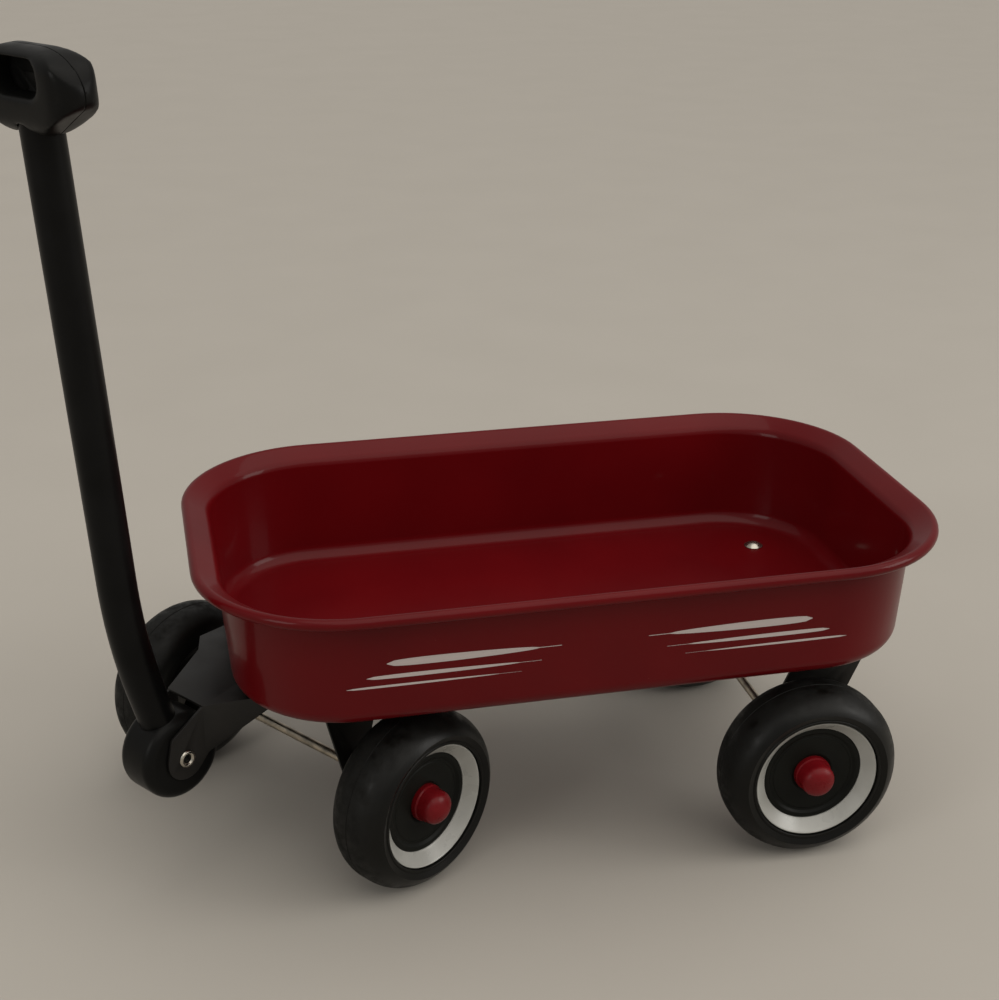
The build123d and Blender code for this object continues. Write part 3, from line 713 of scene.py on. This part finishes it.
def hub_profile():
    """Half-section of the hub: drum, web and sleeve, with a raised rim round a sunk face."""
    drum = TYRE_SEAT - HUB_WALL
    inner, back, web = TYRE_INNER + TYRE_SEAT_INSET, RING_BACK - RING_WALL, HUB_FACE - HUB_WEB
    return rounded([(HUB_BORE, HUB_INNER), (HUB_SLEEVE, HUB_INNER, 0.5), (HUB_SLEEVE, web, 0.8),
                    (drum, web, 0.8), (drum, inner, 0.4), (TYRE_SEAT, inner, 0.4),
                    (TYRE_SEAT, back), (RING_INNER - 0.1, back), (RING_INNER - 0.1, RING_BACK, 0.5),
                    (RING_INNER - 2.1, RING_BACK, 0.5), (RING_INNER - 3.2, HUB_FACE - 0.1, 0.6),
                    (RING_INNER - 4.2, HUB_FACE - 0.1, 0.4),
                    (RING_INNER - 4.6, HUB_FACE + 0.15, 0.3), (CAP_RADIUS + 1.2, HUB_FACE, 0.4),
                    (CAP_RADIUS + 0.2, HUB_FACE - 0.5, 0.3),
                    (CAP_RADIUS - CAP_WALL, HUB_FACE - CAP_SEAT),
                    (HUB_BORE, HUB_FACE - CAP_SEAT)])


def hub_rib_tree():
    """Sets flat ribs round the hub's sleeve, joined to the drum that comes in."""
    tree, given = geometry_tree("hub ribs", Count="Int", Size="Vector", Centre="Vector",
                                Finish="Material")
    rib = add(tree, "GeometryNodeMeshCube", {"Size": given["Size"]})
    placed = add(tree, "GeometryNodeTransform",
                 {"Geometry": rib.outputs[0], "Translation": given["Centre"]})
    spots = add(tree, "GeometryNodeMeshLine", {"Count": given["Count"], "Offset": (0, 0, 0)})
    index = add(tree, "GeometryNodeInputIndex").outputs[0]
    share = add(tree, "ShaderNodeMath", {0: index, 1: given["Count"]}, operation="DIVIDE")
    angle = add(tree, "ShaderNodeMath", {0: share.outputs[0], 1: 2 * pi}, operation="MULTIPLY")
    turn = add(tree, "ShaderNodeCombineXYZ", {"Y": angle.outputs[0]})
    ribs = add(tree, "GeometryNodeInstanceOnPoints", {
        "Points": spots.outputs[0], "Instance": placed.outputs[0],
        "Rotation": turn.outputs[0]})
    whole = add(tree, "GeometryNodeJoinGeometry")
    tree.links.new(ribs.outputs[0], whole.inputs[0])
    tree.links.new(given["Geometry"], whole.inputs[0])
    return completed(tree, whole, given["Finish"])


def ribbed_hub():
    """The hub with its ribs, in the wheel's own frame."""
    drum, inner, web = TYRE_SEAT - HUB_WALL, TYRE_INNER + HUB_RIB_INSET, HUB_FACE - HUB_WEB
    start, end = HUB_SLEEVE - HUB_RIB_BITE, drum + HUB_RIB_BITE
    return grown(spun(hub_profile(), 96), hub_rib_tree(), {
        "Count": HUB_RIBS, "Finish": HUB_PLASTIC,
        "Size": (mm(end - start), mm(web - inner + 0.2), mm(HUB_RIB_WIDTH)),
        "Centre": (mm((start + end) / 2), mm((web + inner) / 2), 0)})


def cap_profile():
    """Half-section of the cap: a short skirt, a tapered flank and a domed end, hollow inside."""
    foot, flank = HUB_FACE - CAP_SEAT, CAP_END - CAP_DOME
    dome = [(CAP_TIP * cos(radians(a)), flank + CAP_DOME * sin(radians(a)))
            for a in range(90, 0, -7)]
    return [(max(0.0, r), y) for r, y in dome] + rounded([
        (CAP_TIP + 0.05, flank - 0.2), (CAP_RADIUS - 0.45, HUB_FACE + 2.2, 1.0),
        (CAP_RADIUS, HUB_FACE + 1.5, 0.3), (CAP_RADIUS, foot, 0.2),
        (CAP_RADIUS - CAP_WALL, foot), (CAP_RADIUS - CAP_WALL, HUB_FACE + CAP_WALL),
        (CAP_TIP - CAP_WALL, flank), (0, CAP_END - CAP_WALL)], closed=False)


def build_wheels():
    """Four wheels alike: tyre, ring, hub and cap."""
    shapes = (("tyre", spun(tyre_profile(), 128), TYRE_VINYL, "tyre_rubber"),
              ("rim_ring", spun(ring_profile(), 128), RING_PLASTIC, "ring_plastic"),
              ("hub", ribbed_hub(), HUB_PLASTIC, "hub_plastic"),
              ("hub_cap", spun(cap_profile(), 64, closed=False), CAP_PLASTIC, "cap_plastic"))
    for joint in frame["joints"]:
        if not joint["name"].endswith("_spin"):
            continue
        wheel = joint["name"].removesuffix("_spin")
        place = wheel_place(joint)
        for part, pattern, finish, slot in shapes:
            mesh = pattern.copy()
            mesh.transform(place)
            if part == "tyre":
                mark_tread(mesh, place)
            shown(f"{wheel}_{part}_moulding", mesh, finish, joint["child"],
                  [f"{wheel}_{part}"], sharp=32)


def build_axles():
    """Drawn rods with chamfered ends; the push nuts inside the caps keep their CAD shapes."""
    tip, shoulder = AXLE_RADIUS - AXLE_CHAMFER, AXLE_HALF - AXLE_CHAMFER
    rod = rounded([(0, -AXLE_HALF), (tip, -AXLE_HALF, 0.1), (AXLE_RADIUS, -shoulder, 0.2),
                   (AXLE_RADIUS, shoulder, 0.2), (tip, AXLE_HALF, 0.1), (0, AXLE_HALF)],
                  closed=False)
    by_name = {joint["name"]: joint for joint in frame["joints"]}
    for end, body in (("rear", "wagon"), ("front", "front_truck")):
        mesh = spun([tuple(p) for p in rod], 48, closed=False)
        mesh.transform(wheel_place(by_name[end + "_left_spin"]))
        shown(f"{end}_axle_rod", mesh, AXLE_STEEL, body, [f"{end}_axle"])
        nuts = frame["nodes"][f"{end}_axle_nuts"]
        nuts.data.materials.clear()
        nuts.data.materials.append(SHEET_STEEL)


# ---------------------------------------------------------------- handle
def handle_frame():
    """The handle's own frame: origin at its rivet, X forward, Y left, Z up."""
    tilt = next(j for j in frame["joints"] if j["name"] == "handle_tilt")
    left = Vector(tilt["axis"]).normalized()
    up = Vector((0, 0, 1))
    turn = Matrix((left.cross(up), left, up)).transposed().to_4x4()
    return Matrix.Translation(Vector(tilt["pos_m"])) @ turn


def lean(angle, distance):
    """A step along a run that leans forward of upright by an angle."""
    return Vector((distance * sin(radians(angle)), 0, distance * cos(radians(angle))))


def shaft_line():
    """Points of the shaft's middle line: a straight run, one gentle bend, a straight run."""
    corner = lean(LOWER_LEAN, LOWER_RUN)
    start = lean(LOWER_LEAN, KNUCKLE_RADIUS - SHAFT_SOCKET)
    end = corner + lean(UPPER_LEAN, UPPER_RUN + GRIP_SOCKET)
    flat = rounded([(start.x, start.z), (corner.x, corner.z, SHAFT_BEND), (end.x, end.z)],
                   closed=False, step=1.0)
    return [(p.x, 0, p.y) for p in flat]


def tube_tree():
    """A closed bar of one radius along a line, with a UV map that follows it."""
    tree, given = geometry_tree("tube along a line", Radius="Float", Sides="Int",
                                Finish="Material")
    line = add(tree, "GeometryNodeMeshToCurve", {"Mesh": given["Geometry"]})
    even = add(tree, "GeometryNodeResampleCurve", {"Curve": line.outputs[0], "Count": 120})
    ring = add(tree, "GeometryNodeCurvePrimitiveCircle",
               {"Resolution": given["Sides"], "Radius": given["Radius"]})
    along = add(tree, "GeometryNodeSplineParameter").outputs["Length"]
    marked = add(tree, "GeometryNodeCaptureAttribute", {"Geometry": even.outputs[0]})
    marked.capture_items.new("FLOAT", "Along")
    tree.links.new(along, marked.inputs["Along"])
    around = add(tree, "GeometryNodeCaptureAttribute", {"Geometry": ring.outputs[0]})
    around.capture_items.new("FLOAT", "Around")
    tree.links.new(along, around.inputs["Around"])
    bar = add(tree, "GeometryNodeCurveToMesh", {
        "Curve": marked.outputs["Geometry"], "Profile Curve": around.outputs["Geometry"],
        "Fill Caps": True})
    spot = add(tree, "ShaderNodeCombineXYZ", {"X": around.outputs["Around"],
                                              "Y": marked.outputs["Along"]})
    mapped = add(tree, "GeometryNodeStoreNamedAttribute", {
        "Geometry": bar.outputs[0], "Name": "surface", "Value": spot.outputs[0]},
        data_type="FLOAT2", domain="CORNER")
    return completed(tree, mapped, given["Finish"])


def build_shaft(place):
    """The bent shaft, from inside the knuckle to inside the grip."""
    bar = grown(polyline_mesh(shaft_line(), "shaft line"), tube_tree(), {
        "Radius": mm(SHAFT_RADIUS), "Sides": 64, "Finish": TUBE_PAINT})
    bar.transform(place)
    shown("shaft_tube", bar, TUBE_PAINT, "handle", ["handle_shaft"], sharp=60)


def build_knuckle(place):
    """The round puck at the handle's foot, between the yoke's tabs."""
    half, rim = KNUCKLE_WIDTH / 2, KNUCKLE_RADIUS
    side = [(0, half), (rim, half, KNUCKLE_ROUND), (rim, -half, KNUCKLE_ROUND), (0, -half)]
    puck = spun([tuple(p) for p in rounded(side, closed=False)], 128, closed=False)
    puck.transform(place)
    shown("knuckle_moulding", puck, HANDLE_PLASTIC, "handle", ["handle_knuckle"],
          sharp=40)


def build_knuckle_rivet(place):
    """The tubular rivet: a rolled, rounded flange on each side and an open bore."""
    face, bore = TAB_OUTER, KNUCKLE_RIVET_BORE
    half = rounded([(bore, 0), (bore, face + 0.2, 0.3), (bore + 0.7, face + 0.95, 0.5),
                    (KNUCKLE_RIVET - 0.5, face + 0.8, 0.5), (KNUCKLE_RIVET, face + 0.05, 0.15),
                    (KNUCKLE_RIVET_SHANK, face), (KNUCKLE_RIVET_SHANK, 0)], closed=False)
    half = [tuple(p) for p in half]
    whole = half[:-1] + [(r, -y) for r, y in reversed(half[1:-1])]
    rivet = spun(whole, 64)
    rivet.transform(place)
    shown("knuckle_eyelet", rivet, RIVET_STEEL, "front_truck", ["knuckle_rivet"])


def build_grip(place):
    """The loop grip: both moulded halves softened into one form, then parted at their seam."""
    bm = bmesh.new()
    for node in ("grip_front_half", "grip_rear_half"):
        bm.from_mesh(merged_copy(node))
    inside = place.inverted()
    bmesh.ops.transform(bm, matrix=inside, verts=bm.verts)
    soft = modified(to_mesh(bm, "grip"),
                    ("REMESH", {"mode": "VOXEL", "voxel_size": mm(GRIP_VOXEL)}),
                    ("SMOOTH", {"factor": 0.5, "iterations": GRIP_SOFTENING}))
    foot = lean(LOWER_LEAN, LOWER_RUN) + lean(UPPER_LEAN, UPPER_RUN)
    ahead = Vector((cos(radians(UPPER_LEAN)), 0, -sin(radians(UPPER_LEAN))))
    for name, node, sign in (("grip_front", "grip_front_half", 1),
                             ("grip_back", "grip_rear_half", -1)):
        half = bmesh.new()
        half.from_mesh(soft)
        for offset, cut in ((SEAM_HALF, False), (0.0, True)):
            bmesh.ops.bisect_plane(
                half, geom=half.verts[:] + half.edges[:] + half.faces[:], dist=1e-6,
                plane_co=mm(foot) + ahead * sign * mm(offset), plane_no=ahead * sign,
                clear_inner=cut)
        half.normal_update()
        seam = [e for e in half.edges if e.is_boundary]
        for vertex in {v for e in seam for v in e.verts}:
            vertex.co -= vertex.normal * mm(SEAM_DEPTH)
        bmesh.ops.holes_fill(half, edges=seam)
        bmesh.ops.recalc_face_normals(half, faces=half.faces)
        bmesh.ops.transform(half, matrix=place, verts=half.verts)
        mesh = to_mesh(half, name)
        mesh.materials.clear()
        shown(name + "_moulding", mesh, HANDLE_PLASTIC, "handle", [node],
              sharp=70)


# ---------------------------------------------------------------- studio
def build_camera():
    """The standing view: from the wagon's left front, looking down at the tray."""
    yaw, pitch, roll = 0.228, 0.399, 0.002
    forward = Vector((-sin(yaw) * cos(pitch), -cos(yaw) * cos(pitch), -sin(pitch)))
    right = forward.cross(Vector((0, 0, 1))).normalized()
    up = right.cross(forward)
    side = right * cos(roll) + up * sin(roll)
    top = up * cos(roll) - right * sin(roll)
    camera = bpy.data.objects.new("camera", bpy.data.cameras.new("camera"))
    scene.collection.objects.link(camera)
    turn = Matrix((side, top, -forward)).transposed().to_4x4()
    camera.matrix_world = Matrix.Translation(Vector((0.17137, 0.63418, 0.33064))) @ turn
    camera.data.sensor_width = 36.0
    camera.data.lens = 58.7268
    camera.data.clip_start, camera.data.clip_end = 0.01, 100
    scene.camera = camera


def softbox(name, place, target, size, watts, colour):
    """A rectangular light that faces its target."""
    light = bpy.data.lights.new(name, "AREA")
    light.shape, light.size, light.size_y = "RECTANGLE", *size
    light.energy, light.color = watts, linear(colour)[:3]
    lamp = bpy.data.objects.new(name, light)
    lamp.location = place
    lamp.rotation_euler = (Vector(target) - Vector(place)).to_track_quat("-Z", "Y").to_euler()
    scene.collection.objects.link(lamp)


def build_studio():
    """A pale floor under an even sky, a soft sun for the shadow and two boxes for the gloss."""
    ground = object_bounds()[0].z
    bm = bmesh.new()
    bmesh.ops.create_circle(bm, cap_ends=True, segments=128, radius=14)
    bmesh.ops.translate(bm, vec=(0, 0, ground - 0.0001), verts=bm.verts)
    floor = bpy.data.objects.new("studio_floor", to_mesh(bm, "studio_floor"))
    scene.collection.objects.link(floor)
    card, tree, shader = material("matt warm card", "#ADA8A0", Roughness=0.9)
    fibre = grain(tree, place_of(tree), 90, 3.0)
    tree.links.new(tinted(tree, ranged(tree, fibre, 0.0, 1.0), "#ACA79F", "#AEA9A1"),
                   shader.inputs["Base Color"])
    floor.data.materials.append(card)

    world = bpy.data.worlds.new("studio air")
    world.use_nodes = True
    air = world.node_tree
    air.nodes.clear()
    height = add(air, "ShaderNodeSeparateXYZ", {
        0: add(air, "ShaderNodeTexCoord").outputs["Generated"]}).outputs["Z"]
    glow = add(air, "ShaderNodeMapRange", {"Value": height, "From Min": 0.1, "From Max": 0.95,
                                           "To Min": 0.38, "To Max": 0.62},
               interpolation_type="SMOOTHSTEP").outputs[0]
    sky = add(air, "ShaderNodeBackground", {"Color": linear("#F4F1EC"), "Strength": glow})
    add(air, "ShaderNodeOutputWorld", {"Surface": sky.outputs[0]})
    scene.world = world

    sun = bpy.data.lights.new("overhead sun", "SUN")
    sun.energy, sun.angle, sun.color = 1.3, radians(80), linear("#FFF9F0")[:3]
    lamp = bpy.data.objects.new("overhead sun", sun)
    lamp.rotation_euler = Vector((0.35, -0.3, -1)).to_track_quat("-Z", "Y").to_euler()
    scene.collection.objects.link(lamp)
    softbox("left window", (1.1, 0.75, 0.55), (0.05, 0, 0.0), (0.45, 0.6), 2.4, "#FFFDF8")
    softbox("right window", (-1.4, 0.55, 0.6), (-0.05, 0, 0.0), (0.7, 0.7), 6.0, "#FFFDF8")


build_tray()
build_stripes()
build_rivets()
build_folded_pieces()
build_wheels()
build_axles()
handle_place = handle_frame()
build_shaft(handle_place)
build_knuckle(handle_place)
build_knuckle_rivet(handle_place)
build_grip(handle_place)
build_camera()
build_studio()
scene.view_settings.view_transform = "Standard"
